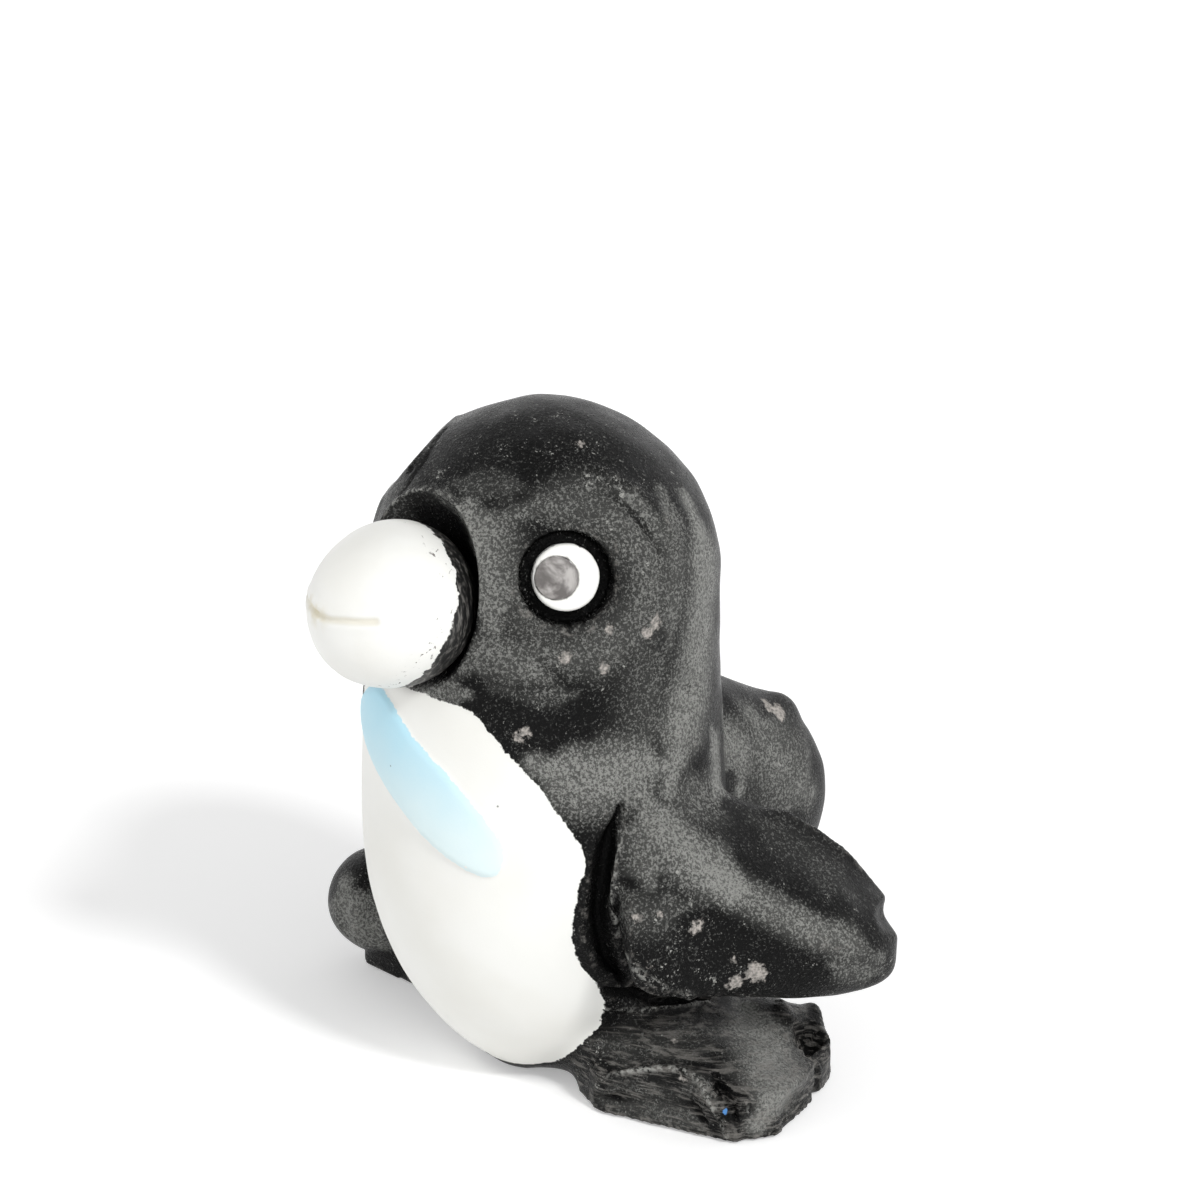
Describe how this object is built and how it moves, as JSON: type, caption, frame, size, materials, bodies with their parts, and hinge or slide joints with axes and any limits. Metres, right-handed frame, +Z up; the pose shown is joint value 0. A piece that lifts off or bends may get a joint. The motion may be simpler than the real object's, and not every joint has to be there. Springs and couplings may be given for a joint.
{
  "type": "penguin figurine",
  "caption": "Small free-standing painted clay penguin with a ball beak, ring-pressed eyes, white belly slab, slanted tie, flared wings, paddle feet and chunky tail, for display on a shelf.",
  "frame": {"origin": "centre of the flat underside of the trunk, on the ground", "axes": "+Z up through the head, -Y the way the beak points, +X the penguin's left"},
  "size_m": [0.0472, 0.0465, 0.0503],
  "materials": {
    "black_clay": "matte black paint on clay, dusty and chipped",
    "white_clay": "smooth white",
    "beak_clay": "smooth off-white with a scored mouth line",
    "tie_clay": "smooth light blue",
    "eye_clay": "white",
    "pupil_clay": "marbled grey"
  },
  "bodies": {
    "root": {"body": "black_clay", "belly": "white_clay", "tie": "tie_clay", "beak": "beak_clay", "left_eye": "eye_clay", "right_eye": "eye_clay", "left_pupil": "pupil_clay", "right_pupil": "pupil_clay", "left_wing": "black_clay", "right_wing": "black_clay", "left_foot": "black_clay", "right_foot": "black_clay", "tail": "black_clay"}
  },
  "joints": []
}
